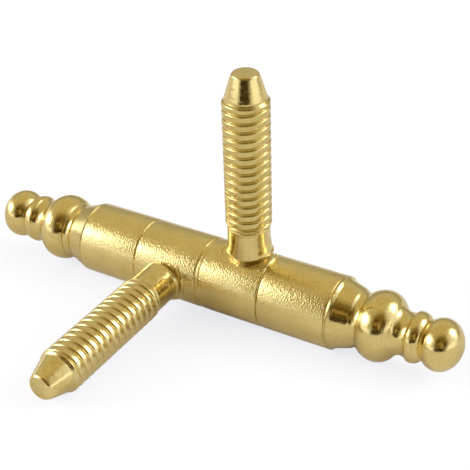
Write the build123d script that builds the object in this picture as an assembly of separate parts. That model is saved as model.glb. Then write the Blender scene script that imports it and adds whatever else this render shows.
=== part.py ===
from build123d import *
from math import asin, cos, sin, sqrt, radians
import os

# Screw-in barrel hinge with turned ball finials.
# The pin stands upright along +Z. The lower half is fixed to the frame and the upper
# half, with the door, turns on the pin and lifts off it.
# The origin is where the axis of the lower shank crosses the axis of the pin.
# All sizes are in millimetres.

# Barrel
barrel_d = 14.0
edge_break = 0.25
lower_sleeve_length = 12.9
lower_knuckle_length = 13.8
upper_knuckle_length = 12.7
upper_sleeve_length = 13.95
sleeve_chamfer = 0.5

# Pin, bush and washer
pin_d = 8.0
pin_chamfer = 0.8
running_clearance = 0.05
pin_end_gap = 0.5
bush_wall = 1.0
washer_thickness = 0.75
washer_clearance = 0.08
washer_inset = 0.15
washer_edge = 0.15

# Threaded shanks, measured out from the pin's axis. The offsets are the shanks' heights
# above the middle of their knuckles.
lower_shank_offset = -0.27
upper_shank_offset = 1.42
shank_angle = -90.0
blank_d = 8.0
thread_d = 8.8
root_d = 7.4
pilot_d = 7.8
thread_pitch = 1.65
crest_width = 1.0
flank_width = 0.25
ridge_inset = 1.0
ridge_sunk = 0.15
thread_run_out = 0.5
thread_start = 13.4
thread_length = 24.8
pilot_length = 1.0
tip_length = 4.7
tip_d = 5.0
tip_edge = 0.3
flash_width = 0.6
flash_height = 0.5

# How far a cutter reaches past what it cuts
cutter_margin = 0.5

# Finials, measured out from the face that seats on the sleeve
collar_length = 0.9
collar_round = 0.5
cavetto_end = 4.0
rim_d = 11.3
rim_length = 0.5
groove_at = 5.3
groove_d = 9.8
bulb_at = 8.65
bulb_d = 13.25
neck_d = 8.1
neck_radius = 2.0
bead_rise = 1.25
bead_at = 15.75
bead_d = 9.6
ball_at = 20.1
ball_d = 9.8
ball_length = 7.8
ball_side_radius = 3.2
ball_seat_d = 7.1
spigot_length = 6.0
spigot_chamfer = 0.5

# Radii that follow from the sizes above
barrel_r = barrel_d / 2
pin_r = pin_d / 2
bush_bore_r = pin_r + running_clearance
bush_r = bush_bore_r + bush_wall

# Heights along the pin that follow from the lengths above
lower_knuckle_z = -lower_knuckle_length / 2 - lower_shank_offset
lower_sleeve_z = lower_knuckle_z - lower_sleeve_length
washer_z = lower_knuckle_z + lower_knuckle_length
upper_knuckle_z = washer_z + washer_thickness
upper_shank_z = upper_knuckle_z + upper_knuckle_length / 2 + upper_shank_offset
upper_sleeve_z = upper_knuckle_z + upper_knuckle_length
top_z = upper_sleeve_z + upper_sleeve_length


def turned(edges):
    """A solid of revolution: the edges of half a section, in the XZ plane, about Z."""
    return revolve(make_face(edges), Axis.Z)


def at(r, z):
    """A point of a half section, at radius r and height z."""
    return (r, 0, z)


def tube(bottom_z, length, outer_r, bore_r, bottom_chamfer, top_chamfer):
    """A barrel segment: a tube with its two outer edges broken."""
    top = bottom_z + length
    outline = Polyline(
        at(bore_r, bottom_z),
        at(outer_r - bottom_chamfer, bottom_z),
        at(outer_r, bottom_z + bottom_chamfer),
        at(outer_r, top - top_chamfer),
        at(outer_r - top_chamfer, top),
        at(bore_r, top),
        close=True,
    )
    return turned(outline)


def hinge_pin():
    """The pin: a chamfered rod from the lower finial's spigot up into the upper half."""
    bottom = lower_sleeve_z + spigot_length
    top = top_z - spigot_length - pin_end_gap
    outline = Polyline(
        at(0, bottom),
        at(pin_r - pin_chamfer, bottom),
        at(pin_r, bottom + pin_chamfer),
        at(pin_r, top - pin_chamfer),
        at(pin_r - pin_chamfer, top),
        at(0, top),
        close=True,
    )
    return turned(outline)


def pivot_bush():
    """The liner that the pin turns in. It ties the upper knuckle to the upper sleeve."""
    outline = Polyline(
        at(bush_bore_r, upper_knuckle_z),
        at(bush_r, upper_knuckle_z),
        at(bush_r, top_z),
        at(bush_bore_r, top_z),
        close=True,
    )
    return turned(outline)


def finial(spigot_r):
    """A turned finial standing on z = 0, with its spigot below and its ball on top."""
    bulb_r = bulb_d / 2
    groove_r = groove_d / 2
    # The bulb is an arc through the groove, with its widest point at bulb_at.
    run = bulb_at - groove_at
    drop = bulb_r - groove_r
    bulb_arc_r = (run**2 + drop**2) / (2 * drop)
    bulb_centre_r = bulb_r - bulb_arc_r
    # The neck is a hollow arc that leaves the bulb at a common tangent.
    neck_r = neck_d / 2
    neck_centre_r = neck_r + neck_radius
    reach = bulb_arc_r + neck_radius
    neck_at = bulb_at + sqrt(reach**2 - (neck_centre_r - bulb_centre_r) ** 2)
    share = bulb_arc_r / reach
    tangent = at(
        bulb_centre_r + share * (neck_centre_r - bulb_centre_r),
        bulb_at + share * (neck_at - bulb_at),
    )
    arris_r = neck_centre_r - sqrt(neck_radius**2 - bead_rise**2)
    # The ball is turned a little flat: a side arc, and a crown arc that meets it at a tangent.
    ball_r = ball_d / 2
    seat_r = ball_seat_d / 2
    half_length = ball_length / 2
    side_centre_r = ball_r - ball_side_radius
    seat_at = ball_at - sqrt(ball_side_radius**2 - (seat_r - side_centre_r) ** 2)
    spread = side_centre_r**2 + half_length**2 - ball_side_radius**2
    crown_radius = spread / (2 * (half_length - ball_side_radius))
    crown_centre = ball_at + half_length - crown_radius
    crown_share = crown_radius / (crown_radius - ball_side_radius)
    shoulder_r = crown_share * side_centre_r
    shoulder_at = crown_centre + crown_share * (ball_at - crown_centre)
    crown_angle = asin(shoulder_r / crown_radius)
    crown_middle = at(
        crown_radius * sin(crown_angle / 2),
        crown_centre + crown_radius * cos(crown_angle / 2),
    )
    ball_top = at(0, ball_at + half_length)
    rim_r = rim_d / 2
    cavetto_r = rim_r + (barrel_r - rim_r) * (1 - sin(radians(60)))
    cavetto_at = collar_length + (cavetto_end - collar_length) * (1 - cos(radians(60)))
    edges = [
        Polyline(
            at(0, -spigot_length),
            at(spigot_r - spigot_chamfer, -spigot_length),
            at(spigot_r, spigot_chamfer - spigot_length),
            at(spigot_r, 0),
            at(barrel_r - collar_round, 0),
        ),
        ThreePointArc(
            at(barrel_r - collar_round, 0),
            at(barrel_r - collar_round * (1 - sqrt(0.5)), collar_round * (1 - sqrt(0.5))),
            at(barrel_r, collar_round),
        ),
        Line(at(barrel_r, collar_round), at(barrel_r, collar_length)),
        ThreePointArc(at(barrel_r, collar_length), at(cavetto_r, cavetto_at), at(rim_r, cavetto_end)),
        Line(at(rim_r, cavetto_end), at(rim_r, cavetto_end + rim_length)),
        ThreePointArc(
            at(rim_r, cavetto_end + rim_length),
            at(
                groove_r + (rim_r - groove_r) * sqrt(0.5),
                cavetto_end + rim_length + (groove_at - cavetto_end - rim_length) * sqrt(0.5),
            ),
            at(groove_r, groove_at),
        ),
        ThreePointArc(at(groove_r, groove_at), at(bulb_r, bulb_at), tangent),
        ThreePointArc(tangent, at(neck_r, neck_at), at(arris_r, neck_at + bead_rise)),
        ThreePointArc(at(arris_r, neck_at + bead_rise), at(bead_d / 2, bead_at), at(seat_r, seat_at)),
        ThreePointArc(at(seat_r, seat_at), at(ball_r, ball_at), at(shoulder_r, shoulder_at)),
        ThreePointArc(at(shoulder_r, shoulder_at), crown_middle, ball_top),
        Line(ball_top, at(0, -spigot_length)),
    ]
    return turned(edges)


def thread_ridge(z_start, run):
    """The ridge of the rolled thread: a trapezoid swept up a helix round the root."""
    root_r = root_d / 2
    base_r = root_r - ridge_sunk
    height = thread_d / 2 - base_r
    slope = flank_width / (thread_d / 2 - root_r)
    half_crest = crest_width / 2
    half_base = half_crest + slope * height
    path = Helix(thread_pitch, run, base_r, center=(0, 0, z_start))
    section = Plane(origin=path @ 0, x_dir=(1, 0, 0), z_dir=path % 0) * make_face(
        Polyline(
            (0, -half_base),
            (height, -half_crest),
            (height, half_crest),
            (0, half_base),
            close=True,
        )
    )
    return sweep(section, path, is_frenet=True)


def end_ring(z_root, z_crest):
    """A ring with a coned bore, which fades the end of the ridge from crest to root."""
    root_r = root_d / 2
    clear_r = thread_d / 2 + cutter_margin
    outer_r = clear_r + cutter_margin
    return turned(
        Polyline(
            at(root_r, z_root),
            at(outer_r, z_root),
            at(outer_r, z_crest),
            at(clear_r, z_crest),
            close=True,
        )
    )


def shank():
    """A shank along +Z, with its foot on a barrel that lies along X through the origin."""
    blank_r = blank_d / 2
    root_r = root_d / 2
    pilot_r = pilot_d / 2
    step = blank_r - root_r
    thread_end = thread_start + thread_length
    pilot_end = thread_end + pilot_length
    tip = pilot_end + tip_length
    tip_r = tip_d / 2
    blank = turned(
        Polyline(
            at(0, 0),
            at(blank_r, 0),
            at(blank_r, thread_start),
            at(root_r, thread_start + step),
            at(root_r, thread_end - step),
            at(pilot_r, thread_end),
            at(pilot_r, pilot_end),
            at(tip_r, tip - tip_edge),
            at(tip_r - tip_edge, tip),
            at(0, tip),
            close=True,
        )
    )
    flash_r = blank_r + flash_width
    flash_top = barrel_r + flash_height
    lying = Rot(0, 90, 0)
    flash = lying * Cylinder(flash_top, 2 * (flash_r + cutter_margin))
    flash &= Cylinder(flash_r, flash_top, align=(Align.CENTER, Align.CENTER, Align.MIN))
    welded = blank + flash - lying * Cylinder(barrel_r, 2 * (flash_r + 2 * cutter_margin))
    # The ridge lies between the two slopes from the blank down to the root.
    ridge_start = thread_start + ridge_inset
    ridge_end = thread_end - ridge_inset
    threaded = welded + thread_ridge(ridge_start, ridge_end - ridge_start)
    threaded -= end_ring(thread_start + step, ridge_start + thread_run_out)
    threaded -= end_ring(thread_end - step, ridge_end - thread_run_out)
    return threaded


def placed(shank_solid, angle, height):
    """The shank turned to point outwards from the pin, at its angle and height."""
    return Pos(0, 0, height) * Rot(0, 0, angle) * Rot(0, 90, 0) * shank_solid


plain_shank = shank()
lower_finial_solid = finial(pin_r)
upper_finial_solid = finial(bush_bore_r)

parts = {
    "lower_knuckle": tube(lower_knuckle_z, lower_knuckle_length, barrel_r, pin_r, edge_break, edge_break),
    "lower_sleeve": tube(lower_sleeve_z, lower_sleeve_length, barrel_r, pin_r, edge_break, edge_break),
    "lower_finial": Pos(0, 0, lower_sleeve_z) * Rot(180, 0, 0) * lower_finial_solid,
    "lower_shank": placed(plain_shank, 0, 0),
    "hinge_pin": hinge_pin(),
    "thrust_washer": tube(
        washer_z,
        washer_thickness,
        barrel_r - washer_inset,
        pin_r + washer_clearance,
        washer_edge,
        washer_edge,
    ),
    "pivot_bush": pivot_bush(),
    "upper_knuckle": tube(upper_knuckle_z, upper_knuckle_length, barrel_r, bush_r, edge_break, edge_break),
    "upper_sleeve": tube(upper_sleeve_z, upper_sleeve_length, barrel_r, bush_r, sleeve_chamfer, edge_break),
    "upper_finial": Pos(0, 0, top_z) * upper_finial_solid,
    "upper_shank": placed(plain_shank, shank_angle, upper_shank_z),
}

os.makedirs("parts", exist_ok=True)
for name, solid in parts.items():
    solid.label = name
    export_step(solid, f"parts/{name}.step")
    print(name, "volume", round(solid.volume, 1), "solids", len(solid.solids()))
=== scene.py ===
import bpy
import numpy as np
from mathutils import Matrix, Vector


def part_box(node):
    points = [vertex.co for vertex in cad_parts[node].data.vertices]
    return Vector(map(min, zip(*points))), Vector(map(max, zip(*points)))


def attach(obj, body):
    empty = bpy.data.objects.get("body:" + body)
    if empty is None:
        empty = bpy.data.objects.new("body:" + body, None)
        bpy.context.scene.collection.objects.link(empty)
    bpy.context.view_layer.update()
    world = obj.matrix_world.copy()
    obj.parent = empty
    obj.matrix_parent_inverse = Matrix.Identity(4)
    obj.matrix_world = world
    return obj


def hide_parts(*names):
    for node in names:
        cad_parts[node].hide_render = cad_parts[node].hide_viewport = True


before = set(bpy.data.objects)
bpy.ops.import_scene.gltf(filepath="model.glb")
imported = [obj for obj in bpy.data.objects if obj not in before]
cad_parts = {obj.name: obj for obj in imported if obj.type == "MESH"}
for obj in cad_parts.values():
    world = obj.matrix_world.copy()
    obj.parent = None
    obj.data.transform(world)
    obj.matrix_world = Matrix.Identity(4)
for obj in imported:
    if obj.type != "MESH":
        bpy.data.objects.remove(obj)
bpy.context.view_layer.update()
mm = 0.001               # sizes below are in millimetres, meshes are in metres
print("frame loaded", sorted(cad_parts))


# meshes from numpy grids

def gridQuads(rows, columns, closeRows=False):
    # Quads of a grid that always closes across its columns; row i, column j is vertex i * columns + j.
    i = np.arange(rows if closeRows else rows - 1)[:, None]
    j = np.arange(columns)[None, :]
    nextRow, nextColumn = (i + 1) % rows, (j + 1) % columns
    corners = [(i, j), (i, nextColumn), (nextRow, nextColumn), (nextRow, j)]
    quads = [np.broadcast_to(row * columns + column, (len(i), columns)) for row, column in corners]
    return np.stack(quads, -1).reshape(-1, 4)


def poleFan(row, columns, pole, flip):
    # Triangles from one row of a grid to a single vertex on the axis.
    j = np.arange(columns)
    a, b = row * columns + j, row * columns + (j + 1) % columns
    fan = np.stack([a, b, np.full(columns, pole)], -1)
    return fan[:, ::-1] if flip else fan


def capped(rows, columns):
    # Quads of a grid and the fans that close it, with its two poles as the last two vertices.
    count = rows * columns
    fans = [poleFan(0, columns, count, True), poleFan(rows - 1, columns, count + 1, False)]
    return gridQuads(rows, columns), fans


def signedVolume(points, triangles):
    # A sixth of the sum of a . (b x c) over all triangles; it is negative when they face inwards.
    a, b, c = (points[triangles[:, k]] for k in range(3))
    return float(np.einsum("ij,ij->i", a, np.cross(b, c)).sum() / 6)


def addPiece(name, points, quads, fans, material, body, slotName, node=None):
    # Points are in millimetres in the frame's axes; the volume's sign tells whether faces have to be turned.
    triangles = np.concatenate([quads[:, [0, 1, 2]], quads[:, [0, 2, 3]]] + fans)
    if signedVolume(points, triangles) < 0:
        quads, fans = quads[:, ::-1], [fan[:, ::-1] for fan in fans]
    faces = quads.tolist()
    for fan in fans:
        faces += fan.tolist()
    mesh = bpy.data.meshes.new(name)
    mesh.from_pydata((points * mm).tolist(), [], faces)
    mesh.polygons.foreach_set("use_smooth", np.ones(len(faces), bool))
    mesh.update()
    piece = bpy.data.objects.new(name, mesh)
    bpy.context.scene.collection.objects.link(piece)
    mesh.materials.append(material)
    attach(piece, body)
    if node:
        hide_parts(node)
    return piece


def arc(centreR, centreZ, radius, startAngle, endAngle, count):
    # r = centreR + radius cos a, z = centreZ + radius sin a, for a in degrees
    a = np.radians(np.linspace(startAngle, endAngle, count))
    return np.stack([centreR + radius * np.cos(a), centreZ + radius * np.sin(a)], -1)


def arcThrough(first, middle, last, count):
    # The arc of the one circle through three points of a profile.
    a, b, c = (np.array(p, float) for p in (first, middle, last))
    m = 2 * np.array([b - a, c - a])
    centre = np.linalg.solve(m, np.array([b @ b - a @ a, c @ c - a @ a]))
    angles = np.unwrap([np.arctan2(*(p - centre)[::-1]) for p in (a, b, c)])
    t = np.linspace(angles[0], angles[2], count)
    return centre + np.linalg.norm(a - centre) * np.stack([np.cos(t), np.sin(t)], -1)


def softened(corners, radii, steps=5):
    # A closed outline with each corner rounded: a quadratic curve between points radius away from it.
    corners = np.array(corners, float)
    before, after = np.roll(corners, 1, 0), np.roll(corners, -1, 0)
    out = []
    for p, a, b, r in zip(corners, before, after, radii):
        toA, toB = (a - p) / np.linalg.norm(a - p), (b - p) / np.linalg.norm(b - p)
        t = np.linspace(0, 1, steps)[:, None]
        out.append((1 - t) ** 2 * (p + r * toA) + 2 * t * (1 - t) * p + t**2 * (p + r * toB))
    return np.concatenate(out)


def spaced(chunks, closest=0.004):
    # Joins stretches of a profile and drops points that fall on the one before.
    line = np.concatenate(chunks)
    keep = np.r_[True, np.linalg.norm(np.diff(line, axis=0), axis=1) > closest]
    return line[keep]


def turnedGrid(profile, columns):
    # x = r cos a, y = r sin a, z = z: every point of the profile carried round the pin's axis
    a = np.linspace(0, 2 * np.pi, columns, endpoint=False)
    r, z = profile[:, 0][:, None], profile[:, 1][:, None]
    return np.stack([r * np.cos(a), r * np.sin(a), z + 0 * a], -1).reshape(-1, 3)


def turnedRing(name, profile, columns, **how):
    # A closed outline turned into a ring or tube.
    return addPiece(name, turnedGrid(profile, columns), gridQuads(len(profile), columns, True), [], **how)


def turnedSolid(name, profile, columns, **how):
    # An open outline that starts and ends on the axis, closed there by two poles.
    inner = profile[1:-1]
    poles = np.array([[0, 0, profile[0, 1]], [0, 0, profile[-1, 1]]])
    points = np.concatenate([turnedGrid(inner, columns), poles])
    return addPiece(name, points, *capped(len(inner), columns), **how)


# shader helpers

def nodeAt(tree, kind, inputs=None, **settings):
    # A new node: settings are its own options, and inputs are socket values by name or number.
    node = tree.nodes.new(kind)
    for key, value in settings.items():
        setattr(node, key, value)
    for key, value in (inputs or {}).items():
        node.inputs[key].default_value = value
    return node


def newGroup(name, inputs, outputs):
    group = bpy.data.node_groups.new(name, "ShaderNodeTree")
    for label, value in inputs.items():
        socket = group.interface.new_socket(label, in_out="INPUT", socket_type="NodeSocketFloat")
        socket.default_value = value
    for label in outputs:
        group.interface.new_socket(label, in_out="OUTPUT", socket_type="NodeSocketFloat")
    return group, nodeAt(group, "NodeGroupInput"), nodeAt(group, "NodeGroupOutput")


def useGroup(tree, group, **values):
    return nodeAt(tree, "ShaderNodeGroup", values, node_tree=group)


def math(tree, operation, a, b=None):
    # One maths node; each operand is a number or a socket.
    node = nodeAt(tree, "ShaderNodeMath", operation=operation)
    for socket, value in zip(node.inputs, (a, b)):
        if value is None:
            continue
        if isinstance(value, (int, float)):
            socket.default_value = value
        else:
            tree.links.new(value, socket)
    return node.outputs[0]


def mixedColour(tree, share, first, second):
    # The first colour where share is 0 and the second where it is 1; each is a colour or a socket.
    node = nodeAt(tree, "ShaderNodeMix", data_type="RGBA")
    tree.links.new(share, node.inputs[0])
    for socket, value in ((node.inputs[6], first), (node.inputs[7], second)):
        if isinstance(value, tuple):
            socket.default_value = (*value, 1)
        else:
            tree.links.new(value, socket)
    return node.outputs[2]


def mixedShaders(tree, share, first, second):
    node = nodeAt(tree, "ShaderNodeMixShader")
    for socket, value in zip(node.inputs, (share, first, second)):
        tree.links.new(value, socket)
    return node.outputs[0]


# brass, plating and steel

grainShape = {"coarseDetail": 1.0, "coarseRoughness": 0.45, "fineScale": 2.7, "fineDetail": 2.0,
              "fineShare": 0.2}
turningDetail, tarnishDetail = 3.0, 4.0


def makeGrainGroup():
    # Fine random dimples and short scratches of drawn and plated tube, in object space.
    g = grainShape
    group, given, out = newGroup("drawnGrain", {"grainsPerMm": 2.2, "stretch": 1.6}, ["height", "mask"])
    place = nodeAt(group, "ShaderNodeTexCoord")
    perMetre = math(group, "MULTIPLY", given.outputs["grainsPerMm"], 1 / mm)
    along = math(group, "MULTIPLY", perMetre, given.outputs["stretch"])
    scale = nodeAt(group, "ShaderNodeCombineXYZ")
    for socket, size in zip(scale.inputs, (perMetre, perMetre, along)):
        group.links.new(size, socket)
    spot = nodeAt(group, "ShaderNodeVectorMath", operation="MULTIPLY")
    group.links.new(place.outputs["Object"], spot.inputs[0])
    group.links.new(scale.outputs[0], spot.inputs[1])
    coarse = nodeAt(group, "ShaderNodeTexNoise",
                    {"Scale": 1.0, "Detail": g["coarseDetail"], "Roughness": g["coarseRoughness"]})
    fine = nodeAt(group, "ShaderNodeTexNoise", {"Scale": g["fineScale"], "Detail": g["fineDetail"]})
    for noise in (coarse, fine):
        group.links.new(spot.outputs[0], noise.inputs["Vector"])
    finePart = math(group, "MULTIPLY", fine.outputs["Fac"], g["fineShare"])
    group.links.new(math(group, "ADD", coarse.outputs["Fac"], finePart), out.inputs["height"])
    group.links.new(coarse.outputs["Fac"], out.inputs["mask"])
    return group


def makeTurningGroup():
    # Lathe lines round the pin's axis: noise that changes only with height.
    group, given, out = newGroup("turningLines", {"linesPerMm": 4.0}, ["height"])
    place = nodeAt(group, "ShaderNodeTexCoord")
    split = nodeAt(group, "ShaderNodeSeparateXYZ")
    group.links.new(place.outputs["Object"], split.inputs[0])
    perMetre = math(group, "MULTIPLY", given.outputs["linesPerMm"], 1 / mm)
    line = nodeAt(group, "ShaderNodeTexNoise", {"Scale": 1.0, "Detail": turningDetail},
                  noise_dimensions="1D")
    group.links.new(math(group, "MULTIPLY", split.outputs["Z"], perMetre), line.inputs["W"])
    group.links.new(line.outputs["Fac"], out.inputs["height"])
    return group


def makeTarnishGroup():
    # Slow patches of tone over a piece.
    group, given, out = newGroup("tarnish", {"patchesPerMm": 0.12, "contrast": 1.0}, ["mask"])
    place = nodeAt(group, "ShaderNodeTexCoord")
    spot = nodeAt(group, "ShaderNodeVectorMath", operation="SCALE")
    group.links.new(place.outputs["Object"], spot.inputs[0])
    group.links.new(math(group, "MULTIPLY", given.outputs["patchesPerMm"], 1 / mm), spot.inputs["Scale"])
    cloud = nodeAt(group, "ShaderNodeTexNoise", {"Scale": 1.0, "Detail": tarnishDetail})
    group.links.new(spot.outputs[0], cloud.inputs["Vector"])
    centred = math(group, "SUBTRACT", cloud.outputs["Fac"], 0.5)
    spread = math(group, "MULTIPLY", centred, given.outputs["contrast"])
    group.links.new(math(group, "ADD", spread, 0.5), out.inputs["mask"])
    return group


grainGroup, turningGroup, tarnishGroup = makeGrainGroup(), makeTurningGroup(), makeTarnishGroup()


def rolledMask(tree, span):
    # 1 between two distances from the pin's axis, where a shank's thread is rolled.
    place = nodeAt(tree, "ShaderNodeTexCoord")
    level = nodeAt(tree, "ShaderNodeVectorMath", {1: (1, 1, 0)}, operation="MULTIPLY")
    tree.links.new(place.outputs["Object"], level.inputs[0])
    away = nodeAt(tree, "ShaderNodeVectorMath", operation="LENGTH")
    tree.links.new(level.outputs[0], away.inputs[0])
    above = math(tree, "GREATER_THAN", away.outputs["Value"], span[0] * mm)
    below = math(tree, "LESS_THAN", away.outputs["Value"], span[1] * mm)
    return math(tree, "MULTIPLY", above, below)


def bump(tree, height, strength, depth, normal=None):
    node = nodeAt(tree, "ShaderNodeBump", {"Strength": strength, "Distance": depth * mm})
    tree.links.new(height, node.inputs["Height"])
    if normal:
        tree.links.new(normal, node.inputs["Normal"])
    return node.outputs[0]


def metal(name, look):
    # One Principled metal: tarnish mixes two tones, grain and lathe lines feed roughness and bump, and a
    # rolled thread is duller and of another tone. The shanks' thread tones are painted light: a painted sheen
    # on the lower thread and painted shade on the upper.
    material = bpy.data.materials.new(name)
    material.use_nodes = True
    tree = material.node_tree
    shader = tree.nodes["Principled BSDF"]
    lacquer = {"Coat Weight": look["lacquer"], "Coat IOR": look["lacquerIor"],
               "Coat Roughness": look["lacquerRoughness"]}
    for label, value in {"Metallic": 1.0, **lacquer}.items():
        shader.inputs[label].default_value = value
    tarnish = useGroup(tree, tarnishGroup, patchesPerMm=look["patchesPerMm"], contrast=look["patchContrast"])
    grain = useGroup(tree, grainGroup, grainsPerMm=look["grainsPerMm"], stretch=look["grainStretch"])
    turning = useGroup(tree, turningGroup, linesPerMm=look["linesPerMm"])
    flecks = math(tree, "MULTIPLY", math(tree, "SUBTRACT", grain.outputs["mask"], 0.5), look["fleck"])
    share = math(tree, "ADD", tarnish.outputs["mask"], flecks)
    tone = mixedColour(tree, share, look["dark"], look["light"])
    rough = nodeAt(tree, "ShaderNodeMapRange", {
        "From Min": look["grainRange"][0], "From Max": look["grainRange"][1],
        "To Min": look["roughness"][0], "To Max": look["roughness"][1]})
    tree.links.new(grain.outputs["mask"], rough.inputs["Value"])
    roughness = rough.outputs[0]
    thread = look.get("thread")
    if thread:
        rolled = rolledMask(tree, thread["span"])
        # Painted light: this thread tone is a painted sheen on the lower shank and painted shade on the
        # upper.
        tone = mixedColour(tree, math(tree, "MULTIPLY", rolled, thread["share"]), tone, thread["tone"])
        roughness = math(tree, "ADD", roughness, math(tree, "MULTIPLY", rolled, thread["dullness"]))
    normal = bump(tree, grain.outputs["height"], look["grainStrength"], look["grainDepth"])
    normal = bump(tree, turning.outputs["height"], look["lineStrength"], look["lineDepth"], normal)
    for label, socket in (("Base Color", tone), ("Roughness", roughness), ("Normal", normal)):
        tree.links.new(socket, shader.inputs[label])
    return material


anyMetal = {"grainRange": (0.3, 0.7), "lacquerIor": 1.6}
brassTones = dict(
    anyMetal, dark=(0.72, 0.565, 0.205), light=(0.99, 0.83, 0.39), fleck=0.9, lacquer=0.7,
    lacquerRoughness=0.15)
barrelLook = dict(
    brassTones, patchesPerMm=0.15, patchContrast=1.2, roughness=(0.15, 0.26), grainsPerMm=2.9,
    grainStretch=1.2, grainStrength=1.0, grainDepth=0.075, linesPerMm=3.0, lineStrength=0.1, lineDepth=0.01)
finialLook = dict(
    brassTones, patchesPerMm=0.2, patchContrast=1.0, roughness=(0.10, 0.16), grainsPerMm=2.4,
    grainStretch=1.0, grainStrength=0.6, grainDepth=0.025, linesPerMm=4.0, lineStrength=0.8, lineDepth=0.022)
shankLook = dict(
    brassTones, patchesPerMm=0.3, patchContrast=1.2, roughness=(0.10, 0.18), grainsPerMm=1.5,
    grainStretch=1.0, grainStrength=0.8, grainDepth=0.03, linesPerMm=1.0, lineStrength=0.0, lineDepth=0.01)
rolledThread = {"span": (13.3, 39.4), "dullness": 0.07, "share": 0.35}
# Painted light: a painted sheen on the lower shank's thread, painted shade on the upper's.
threadSheenAndShade = {"lower": (0.80, 0.71, 0.42), "upper": (0.60, 0.47, 0.12)}
washerLook = dict(barrelLook, roughness=(0.25, 0.4), grainStrength=0.3)
bushLook = dict(
    barrelLook, dark=(0.62, 0.45, 0.20), light=(0.78, 0.60, 0.28), lineStrength=0.5, lacquer=0.0)
pinLook = dict(
    anyMetal, dark=(0.46, 0.45, 0.43), light=(0.58, 0.57, 0.55), fleck=0.5, lacquer=0.0,
    lacquerRoughness=0.2, patchesPerMm=0.2, patchContrast=1.4, roughness=(0.20, 0.34), grainsPerMm=3.0,
    grainStretch=4.0, grainStrength=0.2, grainDepth=0.01, linesPerMm=8.0, lineStrength=0.4, lineDepth=0.01)
barrelPlate, finialBrass = metal("barrelPlate", barrelLook), metal("finialBrass", finialLook)
shankPlates = {side: metal(side + "ShankPlate", dict(shankLook, thread=dict(rolledThread, tone=tone)))
               for side, tone in threadSheenAndShade.items()}
washerBrass, bushBrass = metal("washerBrass", washerLook), metal("bushBrass", bushLook)
pinSteel = metal("pinSteel", pinLook)
print("materials made")


# barrel segments, washer, bush and pin

def zSpan(node):
    low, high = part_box(node)
    return low[2] / mm, high[2] / mm


barrel = {"radius": 7.0, "pinRadius": 4.0, "bushBore": 4.05, "bushRadius": 5.05, "edge": 0.34,
          "boreEdge": 0.15, "lowerFinialEdge": 0.1, "upperSleeveEdge": 0.55, "columns": 192,
          "innerColumns": 128}
washer = {"radius": 6.85, "bore": 4.08, "edge": 0.15, "boreEdge": 0.05}
pin = {"chamfer": 0.8, "edgeReach": 0.1, "edgeDip": 0.04}


def tubeProfile(node, outer, bore, edges):
    # Outline of a tube's wall: bore bottom, outer bottom, outer top, bore top, with softened corners.
    bottom, top = zSpan(node)
    return softened([(bore, bottom), (outer, bottom), (outer, top), (bore, top)], edges)


def addSegments():
    e, b = barrel["edge"], barrel["boreEdge"]
    for node, bore, body, edges in (
        ("lower_sleeve", "pinRadius", "lower_half", (b, barrel["lowerFinialEdge"], e, b)),
        ("lower_knuckle", "pinRadius", "lower_half", (b, e, e, b)),
        ("upper_knuckle", "bushRadius", "upper_half", (b, e, e, b)),
        ("upper_sleeve", "bushRadius", "upper_half", (b, barrel["upperSleeveEdge"], e, b)),
    ):
        turnedRing(node + "Skin", tubeProfile(node, barrel["radius"], barrel[bore], edges), barrel["columns"],
                   material=barrelPlate, body=body, slotName="plated_barrel", node=node)


def addWasher():
    w, b = washer["edge"], washer["boreEdge"]
    turnedRing("washerSkin", tubeProfile("thrust_washer", washer["radius"], washer["bore"], (b, w, w, b)),
               barrel["columns"], material=washerBrass, body="washer", slotName="washer_brass",
               node="thrust_washer")


def addBush():
    profile = tubeProfile("pivot_bush", barrel["bushRadius"], barrel["bushBore"], [barrel["boreEdge"]] * 4)
    turnedRing("bushSkin", profile, barrel["innerColumns"], material=bushBrass, body="upper_half",
               slotName="bush_brass", node="pivot_bush")


def addPin():
    # Half section with a chamfer at both ends; a point beside each chamfer's edge keeps its shading crisp.
    bottom, top = zSpan("hinge_pin")
    r, c, reach, dip = barrel["pinRadius"], pin["chamfer"], pin["edgeReach"], pin["edgeDip"]
    end = np.array([(0, 0), (r - c - reach, 0), (r - c, dip), (r - dip, c), (r, c + reach)])
    profile = np.concatenate([end + (0, bottom), end[::-1] * (1, -1) + (0, top)])
    turnedSolid("pinSkin", profile, barrel["innerColumns"], material=pinSteel, body="lower_half",
                slotName="pin_steel", node="hinge_pin")


addSegments()
addWasher()
addBush()
addPin()
print("barrel made")


# finials

finial = {
    "seamRound": {"upper": 0.22, "lower": 0.08},
    # radius, distance and rounding of each turned step between the sleeve and the bulb
    "steps": {
        "upper": [(7.0, 0.4, 0.12), (6.5, 1.05, 0.2), (5.68, 3.8, 0.15), (5.25, 4.4, 0.25),
                  (5.2, 5.35, 0.45)],
        "lower": [(7.0, 0.25, 0.1), (5.70, 3.8, 0.3), (5.32, 4.5, 0.3), (5.2, 5.35, 0.45)],
    },
    "leadOut": (0.5, 0.6), "swellTrim": 9,      # way out of the last step, and degrees cut off the bulb there
    "bulbAt": 8.6, "bulbRadius": 6.66, "bulbArc": 3.74,
    "neckRadius": 4.05, "neckArc": 2.0, "beadRise": 1.5, "beadAt": 15.6, "beadRadius": 4.78,
    "ballAt": 20.0, "ballRadius": 4.87, "ballHalf": 4.0, "ballSide": 3.4, "ballSeat": 3.55,
    "spigotLength": 6.0, "spigotChamfer": 0.5, "spigotRoot": 0.1, "columns": 224,
    "points": {"seam": 8, "swell": 48, "bulb": 40, "neck": 30, "bead": 24, "ball": 48, "crown": 36},
}


def angleOf(point, centre):
    return np.degrees(np.arctan2(*(point - centre)[::-1]))


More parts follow.
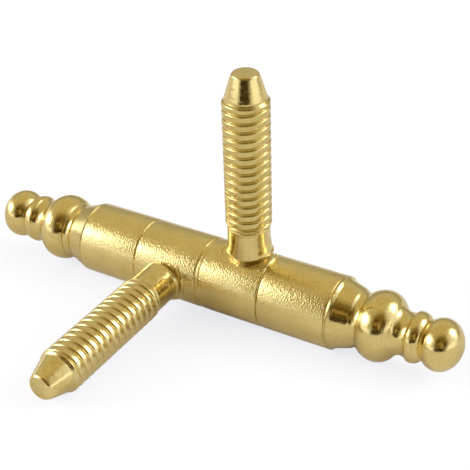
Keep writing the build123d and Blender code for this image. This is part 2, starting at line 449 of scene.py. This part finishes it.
def bulbLine(groove):
    # A wide arc swells from the last step to the bulb's waist, and the bulb's arc meets the neck's
    # tangentially. Returns the stretches and the arris where the neck ends at the bead.
    f, n = finial, finial["points"]
    drop, run = f["bulbRadius"] - groove[0], f["bulbAt"] - groove[1]
    swell = (run**2 + drop**2) / (2 * drop)
    swellStart = f["swellTrim"] - np.degrees(np.arcsin(run / swell))
    bulbCentre = np.array([f["bulbRadius"] - f["bulbArc"], f["bulbAt"]])
    neckR, reach = f["neckRadius"] + f["neckArc"], f["bulbArc"] + f["neckArc"]
    neckCentre = np.array([neckR, f["bulbAt"] + np.sqrt(reach**2 - (neckR - bulbCentre[0]) ** 2)])
    tangent = bulbCentre + (neckCentre - bulbCentre) * f["bulbArc"] / reach
    beadR = neckR - np.sqrt(f["neckArc"] ** 2 - f["beadRise"] ** 2)
    arris = np.array([beadR, neckCentre[1] + f["beadRise"]])
    return [
        arc(f["bulbRadius"] - swell, f["bulbAt"], swell, swellStart, 0, n["swell"]),
        arc(*bulbCentre, f["bulbArc"], 0, angleOf(tangent, bulbCentre), n["bulb"]),
        arcThrough(tangent, (f["neckRadius"], neckCentre[1]), arris, n["neck"]),
    ], arris


def ballLine(arris):
    # The bead, and a ball that is a little flat: a side arc of radius ballSide and a tangent crown arc.
    f, n = finial, finial["points"]
    side, rise = f["ballSide"], f["ballHalf"]
    sideCentre = np.array([f["ballRadius"] - side, f["ballAt"]])
    seat = np.array([f["ballSeat"], f["ballAt"] - np.sqrt(side**2 - (f["ballSeat"] - sideCentre[0]) ** 2)])
    crown = (sideCentre[0] ** 2 + rise**2 - side**2) / (2 * (rise - side))
    crownCentre = np.array([0, f["ballAt"] + rise - crown])
    shoulder = crownCentre + (sideCentre - crownCentre) * crown / (crown - side)
    return [
        arcThrough(arris, (f["beadRadius"], f["beadAt"]), seat, n["bead"]),
        arcThrough(seat, (f["ballRadius"], f["ballAt"]), shoulder, n["ball"]),
        arc(0, crownCentre[1], crown, angleOf(shoulder, crownCentre), 90, n["crown"]),
    ]


def finialProfile(half, spigotRadius):
    # Half section from the spigot's end to the ball's pole, with z = 0 at the sleeve's end. Two small steps
    # and a cone lead to the bulb; the rest is arcs.
    f = finial
    r, length, chamfer = spigotRadius, f["spigotLength"], f["spigotChamfer"]
    spigot = [(0, -length), (r - chamfer, -length), (r, chamfer - length), (r, -f["spigotRoot"]), (r, 0)]
    seam = f["seamRound"][half]
    steps = np.array(f["steps"][half])
    leadOut = steps[-1, :2] + f["leadOut"]
    bulb, arris = bulbLine(steps[-1])
    return spaced([
        np.array(spigot),
        arc(barrel["radius"] - seam, seam, seam, -90, 0, f["points"]["seam"]),
        softened([*steps[:, :2], leadOut], [*steps[:, 2], 0])[:-1],
        *bulb,
        *ballLine(arris),
    ])


def addFinials():
    top, bottom = zSpan("upper_sleeve")[1], zSpan("lower_sleeve")[0]
    upper = finialProfile("upper", barrel["bushBore"]) + (0, top)
    lower = finialProfile("lower", barrel["pinRadius"]) * (1, -1) + (0, bottom)
    for half, profile in (("upper", upper), ("lower", lower)):
        turnedSolid(half + "FinialSkin", profile, finial["columns"], material=finialBrass,
                    body=half + "_half", slotName="turned_brass", node=half + "_finial")


addFinials()
print("finials made")


# threaded shanks

shank = {
    "blankRadius": 4.0, "rootRadius": 3.82, "crestRadius": 4.33, "pitch": 1.65,
    "crestPower": 6.0, "crown": 0.17, "threadStart": 13.4, "threadEnd": 39.35,
    "rootStep": 0.35, "pilotStep": 0.25,        # lengths over which the root sinks and the pilot rises
    "fadeLead": 0.1, "startRun": 0.9, "endRun": 0.75,
    "pilotRadius": 3.84, "pilotEnd": 39.4, "tip": 43.9, "tipRadius": 2.5, "tipEdge": 0.3,
    "tipRounding": (0, 0.2, 0.12, 0.12, 0),
    "coneSupport": (0.25, 0.68),                # a row near the cone's end, out and back from its edge
    "swing": {"lower": 0, "upper": -90},        # degrees about the pin
    "columns": 128, "rowsPerPitch": 26, "plainStep": 0.3, "fineLead": 0.7, "lastGap": 0.04,
}
# The foot is a flat end that stands on the barrel's crest over a smaller welded core. Metal that the weld
# squeezed out swells the neck and lies in beads beside it. Angles run round the shank from the -Z side.
foot = {"level": {"lower": 7.2, "upper": 7.6}, "coreRadius": 3.5, "coreRows": 6, "clearance": 0.02,
        "sink": 0.03, "lip": 0.26, "neckTop": 11.8, "neckRows": 30}
swells = {                             # angle, distance, angular width, height, rise
    "lower": [(190, 7.55, 62, 0.30, 0.42), (148, 7.65, 15, 0.45, 0.60), (262, 8.2, 30, 0.7, 0.12),
              (215, 9.4, 30, 1.3, 0.10)],
    "upper": [(14, 8.1, 34, 1.1, 0.60), (200, 8.1, 42, 0.55, 0.60), (205, 9.4, 50, 1.2, 0.22)],
}
beads = {                              # start angle, end angle, ring radius, thickness, lift off the barrel
    "lower": [(135, 235, 4.75, 0.30, 0.05)],
    "upper": [(135, 225, 5.0, 0.45, 0.10), (335, 385, 5.5, 0.26, 0.02)],
}
beadShape = {"waves": (2, 3, 5, 7), "swelling": 0.25, "wander": 0.12, "ends": (0.02, 0.98), "rows": 48,
             "columns": 14, "firstSeed": 5}


def smooth(x):
    x = np.clip(x, 0, 1)
    return x * x * (3 - 2 * x)


def barrelHeight(r, u):
    # The barrel's surface under a point r from the shank's axis at angle u: sqrt(R^2 - (r sin u)^2)
    return np.sqrt(barrel["radius"] ** 2 - (r * np.sin(u)) ** 2)


def footRows(side, u):
    # The core's rows follow the barrel; the underside goes level out to a rounded lip.
    blank, core, lip = shank["blankRadius"], foot["coreRadius"], foot["lip"]
    level = np.maximum(foot["level"][side], barrelHeight(blank, u) + foot["clearance"])
    coreR = core * np.linspace(0.1, 1, foot["coreRows"])[:, None] + 0 * u
    underR = np.array([core, core + lip, blank - lip, blank - 0.3 * lip, blank])[:, None] + 0 * u
    underS = level + lip * np.array([-0.7, 0, 0, 0.3, 1])[:, None]
    return np.concatenate([coreR, underR]), np.concatenate([barrelHeight(coreR, u) - foot["sink"], underS])


def neckRows(side, u, start):
    # r = blank + swells, each rise * exp(-(angle off its middle / width)^2 - ((s - distance) / height)^2)
    t = np.linspace(0, 1, foot["neckRows"])[1:, None]
    s = start * (1 - t) + foot["neckTop"] * t
    r = shank["blankRadius"] + 0 * s
    for angle, distance, width, height, rise in swells[side]:
        away = np.degrees(np.abs((u - np.radians(angle) + np.pi) % (2 * np.pi) - np.pi)) / width
        r = r + rise * np.exp(-away**2 - ((s - distance) / height) ** 2)
    return r, s


def threadRows(u):
    # Over angle u and distance s, r = base(s) + (crest - base(s)) * ridge(s / pitch - u / 2 pi) * fade(s).
    # The base sinks from the blank to the root and rises to the pilot; the ridge is a flat-topped crown.
    k = shank
    fineStart = k["threadStart"] - k["fineLead"]
    s = np.r_[np.arange(foot["neckTop"] + k["plainStep"], fineStart - 0.1, k["plainStep"]),
              np.arange(fineStart, k["pilotEnd"] - k["lastGap"], k["pitch"] / k["rowsPerPitch"])][:, None]
    into = smooth((s - k["threadStart"]) / k["rootStep"])
    outOf = smooth((k["threadEnd"] - s) / k["pilotStep"])
    base = (k["blankRadius"] + (k["rootRadius"] - k["blankRadius"]) * into
            + (k["pilotRadius"] - k["rootRadius"]) * (1 - outOf))
    offCrest = 2 * np.abs((s / k["pitch"] - u / (2 * np.pi) + 0.5) % 1 - 0.5)
    ridge = 1 - k["crown"] * offCrest**2 - (1 - k["crown"]) * offCrest ** k["crestPower"]
    fade = (smooth((s - k["threadStart"] - k["fadeLead"]) / k["startRun"])
            * smooth((k["threadEnd"] - s) / k["endRun"]))
    return base + (k["crestRadius"] - base) * np.clip(ridge, 0, 1) * fade, s + 0 * u


def tipRows(u):
    # The pilot's end, the cone with one support row, and the flat end; a softened corner has five points.
    k = shank
    r, tip, edge = k["tipRadius"], k["tip"], k["tipEdge"]
    out, back = k["coneSupport"]
    pilot, pilotEnd = k["pilotRadius"], k["pilotEnd"]
    outline = softened([(pilot, pilotEnd - 1), (pilot, pilotEnd), (r, tip - edge), (r - edge, tip), (0, tip)],
                       k["tipRounding"])
    line = spaced([outline[5:10], np.array([(r + out, tip - edge - back)]), outline[10:20],
                   np.array([(r * 0.6, tip), (r * 0.3, tip)])])
    return line[:, 0][:, None] + 0 * u, line[:, 1][:, None] + 0 * u


def shankGrid(side):
    # x = r cos u, y = r sin u, z = s, in rows from the foot's middle to the tip's
    u = np.linspace(0, 2 * np.pi, shank["columns"], endpoint=False)[None, :]
    feet = footRows(side, u)
    stretches = [feet, neckRows(side, u, feet[1][-1]), threadRows(u), tipRows(u)]
    r, s = (np.concatenate(part) for part in zip(*stretches))
    points = np.stack([r * np.cos(u), r * np.sin(u), s], -1)
    return points.reshape(-1, 3), len(points)


def beadGrid(start, end, ringRadius, thickness, lift, seed):
    # An uneven bead that lies on the barrel along an arc round the foot and thins out to both ends: its
    # thickness is sqrt(sin pi t) times a sum of random waves.
    b = beadShape
    draws = np.random.default_rng(seed)
    t = np.linspace(*b["ends"], b["rows"])[:, None]
    u = np.radians(start + (end - start) * t)
    v = np.linspace(0, 2 * np.pi, b["columns"], endpoint=False)[None, :]
    wave = sum(draws.uniform(-1, 1) / n * np.sin(n * np.pi * t + draws.uniform(0, 6.28))
               for n in b["waves"])
    thick = thickness * np.sqrt(np.sin(np.pi * t)) * (1 + b["swelling"] * wave)
    r = ringRadius + b["wander"] * wave + thick * np.cos(v)
    s = barrelHeight(r, u) + lift + thick * np.sin(v)
    points = np.stack([r * np.cos(u), r * np.sin(u), s], -1)
    ends = points[[0, -1]].mean(1)
    return np.concatenate([points.reshape(-1, 3), ends])


def placedShank(points, degrees, height):
    # The shank's own z is turned to +X, its own x down the pin, and then it is swung about the pin.
    a = np.radians(degrees)
    laid = np.stack([points[:, 2], points[:, 1], -points[:, 0]], -1)
    x = laid[:, 0] * np.cos(a) - laid[:, 1] * np.sin(a)
    y = laid[:, 0] * np.sin(a) + laid[:, 1] * np.cos(a)
    return np.stack([x, y, laid[:, 2] + height], -1)


def addShanks():
    ends = np.array([[0, 0, barrel["radius"] - foot["sink"]], [0, 0, shank["tip"]]])
    for side, degrees in shank["swing"].items():
        low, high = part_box(side + "_shank")
        height = (low[2] + high[2]) / 2 / mm
        how = dict(material=shankPlates[side], body=side + "_half", slotName="plated_shank")
        points, rows = shankGrid(side)
        addPiece(side + "ShankSkin", placedShank(np.concatenate([points, ends]), degrees, height),
                 *capped(rows, shank["columns"]), node=side + "_shank", **how)
        for number, bead in enumerate(beads[side], 1):
            points = beadGrid(*bead, seed=beadShape["firstSeed"] + number)
            addPiece(f"{side}WeldBead{number}", placedShank(points, degrees, height),
                     *capped(beadShape["rows"], beadShape["columns"]), **how)


addShanks()
print("shanks made")


# floor, room and camera, set out from the floor that the hinge lies on

studio = {
    "floorTilt": 4.3,                  # degrees that the standing shank leans off the floor's normal
    "floorDrop": 7.02,                 # millimetres from the pin's axis down to the floor
    "floorHalf": 3.0,                  # metres from the middle of the floor to its sides
    "floorColour": (0.89, 0.89, 0.92), "floorVeil": 0.5,
    "glowColour": (0.70, 0.77, 1.0), "glow": 0.05, "cameraGlow": 0.25,
    "cameraPlace": (154.464, -125.200, 108.750),
    "cameraForward": (-0.71759, 0.53438, -0.44666),
    "cameraUp": (-0.47064, -0.84479, -0.25459),
    "lens": 88.085, "sensor": 36.0, "clip": (0.01, 20.0),
    # Colour of the room by height: 0 is straight down, 1 is straight up.
    "room": [(0.0, (0.61, 0.61, 0.60)), (0.50, (0.56, 0.55, 0.49)), (0.62, (0.57, 0.54, 0.41)),
             (1.0, (0.58, 0.475, 0.24))],
    # Soft panes of the room, farthest first: azimuth and elevation of the middle seen from the hinge
    # (0 faces the viewer, 90 is to the right), half width and half height in degrees, roll, edge
    # softness as a share, and colour.
    "panes": {
        "backDrop": ((180, 6), (70, 18), 0, 0.5, (0.38, 0.33, 0.21)),
        "darkRoom": ((-4, 37), (33, 31), 0, 0.45, (0.19, 0.13, 0.033)),
        "darkLeft": ((-22, 34), (14, 15), 0, 0.5, (0.08, 0.046, 0.009)),
        "darkRight": ((27, 26), (10, 13), 0, 0.5, (0.10, 0.06, 0.013)),
        "darkLow": ((-9, 7), (29, 9), 0, 0.25, (0.045, 0.027, 0.006)),
        "fleck": ((-17, 33), (9, 2.5), 12, 0.7, (0.60, 0.42, 0.13)),
        "lowFleck": ((4, 25), (4, 9), 0, 0.6, (0.62, 0.46, 0.18)),
        "rightBox": ((80, 32), (20, 28), 0, 0.45, (0.9, 0.88, 0.83)),
        "rightCore": ((96, 33), (11, 15), 0, 0.5, (4.2, 4.1, 3.9)),
        "rightLow": ((60, 6), (24, 9), 0, 0.5, (1.2, 1.19, 1.14)),
        "leftLow": ((-70, 2), (26, 10), 0, 0.5, (1.25, 1.24, 1.2)),
        "leftTail": ((-126, 3), (18, 11), 30, 0.5, (1.15, 1.14, 1.10)),
        "leftBox": ((-90, 24), (24, 13), 14, 0.45, (1.8, 1.8, 1.78)),
        "leftCore": ((-92, 23), (14, 9), 10, 0.5, (6.0, 6.0, 6.0)),
    },
}


def roomAxes():
    # Up from the floor, level towards the viewer, and level to the viewer's right.
    tilt = np.radians(studio["floorTilt"])
    up = Vector((-np.sin(tilt), -np.cos(tilt), 0))
    back = -Vector(studio["cameraForward"])
    front = (back - up * back.dot(up)).normalized()
    return up, front, up.cross(front)


def makePaleFloor():
    material = bpy.data.materials.new("paleFloor")
    material.use_nodes = True
    tree = material.node_tree
    tree.nodes.clear()
    out = nodeAt(tree, "ShaderNodeOutputMaterial")
    rays, sides = nodeAt(tree, "ShaderNodeLightPath"), nodeAt(tree, "ShaderNodeNewGeometry")
    cameraRay, backSide = rays.outputs["Is Camera Ray"], sides.outputs["Backfacing"]
    # Camera rays see a faint veil that keeps the shadow; from behind the floor is clear.
    diffuse = nodeAt(tree, "ShaderNodeBsdfDiffuse", {"Color": (*studio["floorColour"], 1)})
    clear = nodeAt(tree, "ShaderNodeBsdfTransparent")
    clearShare = math(tree, "MAXIMUM", math(tree, "MULTIPLY", cameraRay, studio["floorVeil"]), backSide)
    veiled = mixedShaders(tree, clearShare, diffuse.outputs[0], clear.outputs[0])
    # A cool glow of the upper side, stronger for camera rays, lifts the lit floor to plain white.
    glow = nodeAt(tree, "ShaderNodeEmission", {"Color": (*studio["glowColour"], 1)})
    shine = math(tree, "ADD", math(tree, "MULTIPLY", cameraRay, studio["cameraGlow"]), studio["glow"])
    upperSide = math(tree, "SUBTRACT", 1.0, backSide)
    tree.links.new(math(tree, "MULTIPLY", shine, upperSide), glow.inputs["Strength"])
    both = nodeAt(tree, "ShaderNodeAddShader")
    tree.links.new(veiled, both.inputs[0])
    tree.links.new(glow.outputs[0], both.inputs[1])
    tree.links.new(both.outputs[0], out.inputs["Surface"])
    return material


def addFloor():
    up, along, side = roomAxes()
    half = studio["floorHalf"]
    base = up * (-studio["floorDrop"] * mm)
    corners = [base + side * a * half + along * b * half for a, b in ((-1, -1), (1, -1), (1, 1), (-1, 1))]
    mesh = bpy.data.meshes.new("floor")
    mesh.from_pydata(corners, [], [(0, 1, 2, 3)])
    if mesh.polygons[0].normal.dot(up) < 0:
        mesh.flip_normals()
    mesh.materials.append(makePaleFloor())
    floor = bpy.data.objects.new("floor", mesh)
    bpy.context.scene.collection.objects.link(floor)


def addWorld():
    world = bpy.data.worlds.new("studioWorld")
    bpy.context.scene.world = world
    world.use_nodes = True
    tree = world.node_tree
    tree.nodes.clear()
    out = nodeAt(tree, "ShaderNodeOutputWorld")
    place = nodeAt(tree, "ShaderNodeTexCoord")
    up, front, side = roomAxes()

    def along(direction):
        # How far a ray runs along a direction, from -1 to 1.
        dot = nodeAt(tree, "ShaderNodeVectorMath", {1: direction}, operation="DOT_PRODUCT")
        tree.links.new(place.outputs["Generated"], dot.inputs[0])
        return dot.outputs["Value"]

    def paneMask(middle, halves, roll, soft):
        # 1 inside a rounded pane, fading at its edge: 1 - smoothstep of (|p|^3 + |q|^3)^(1/3), where p and
        # q are the sines of the angles from the middle, over the half sizes.
        az, el, turn = (np.radians(v) for v in (*middle, roll))
        level = np.cos(az) * front + np.sin(az) * side
        centre = np.cos(el) * level + np.sin(el) * up
        wide = np.cos(az) * side - np.sin(az) * front
        tall = np.cos(el) * up - np.sin(el) * level
        axes = np.cos(turn) * wide + np.sin(turn) * tall, np.cos(turn) * tall - np.sin(turn) * wide
        cubes = []
        for axis, half in zip(axes, halves):
            reach = float(np.sin(np.radians(half)))
            share = math(tree, "DIVIDE", math(tree, "ABSOLUTE", along(axis)), reach)
            cubes.append(math(tree, "POWER", share, 3.0))
        edge = math(tree, "POWER", math(tree, "ADD", *cubes), 1 / 3)
        fade = nodeAt(tree, "ShaderNodeMapRange",
                      {"From Min": 1 - soft, "From Max": 1 + soft, "To Min": 1.0, "To Max": 0.0},
                      interpolation_type="SMOOTHSTEP")
        tree.links.new(edge, fade.inputs["Value"])
        return math(tree, "MULTIPLY", fade.outputs[0], math(tree, "GREATER_THAN", along(centre), 0.0))

    ramp = nodeAt(tree, "ShaderNodeValToRGB")
    stops = ramp.color_ramp.elements
    lowest, *between, highest = studio["room"]
    for stop, (spot, shade) in zip(stops, (lowest, highest)):
        stop.position, stop.color = spot, (*shade, 1)
    for spot, shade in between:
        stops.new(spot).color = (*shade, 1)
    tree.links.new(math(tree, "ADD", math(tree, "MULTIPLY", along(up), 0.5), 0.5), ramp.inputs[0])
    colour = ramp.outputs[0]
    for middle, halves, roll, soft, shade in studio["panes"].values():
        colour = mixedColour(tree, paneMask(middle, halves, roll, soft), colour, shade)
    # Camera rays see plain white; the metal mirrors the room.
    lit = nodeAt(tree, "ShaderNodeBackground")
    tree.links.new(colour, lit.inputs["Color"])
    white = nodeAt(tree, "ShaderNodeBackground", {"Color": (1, 1, 1, 1)})
    rays = nodeAt(tree, "ShaderNodeLightPath")
    seen = mixedShaders(tree, rays.outputs["Is Camera Ray"], lit.outputs[0], white.outputs[0])
    tree.links.new(seen, out.inputs["Surface"])


def addCamera():
    data = bpy.data.cameras.new("photoCamera")
    data.sensor_width, data.lens = studio["sensor"], studio["lens"]
    data.clip_start, data.clip_end = studio["clip"]
    camera = bpy.data.objects.new("photoCamera", data)
    back = -Vector(studio["cameraForward"]).normalized()
    right = Vector(studio["cameraUp"]).cross(back).normalized()
    turn = Matrix((right, back.cross(right), back)).transposed().to_4x4()
    camera.matrix_world = Matrix.Translation(Vector(studio["cameraPlace"]) * mm) @ turn
    bpy.context.scene.collection.objects.link(camera)
    bpy.context.scene.camera = camera


addFloor()
addWorld()
addCamera()
bpy.context.scene.view_settings.view_transform = "Standard"
print("studio made")
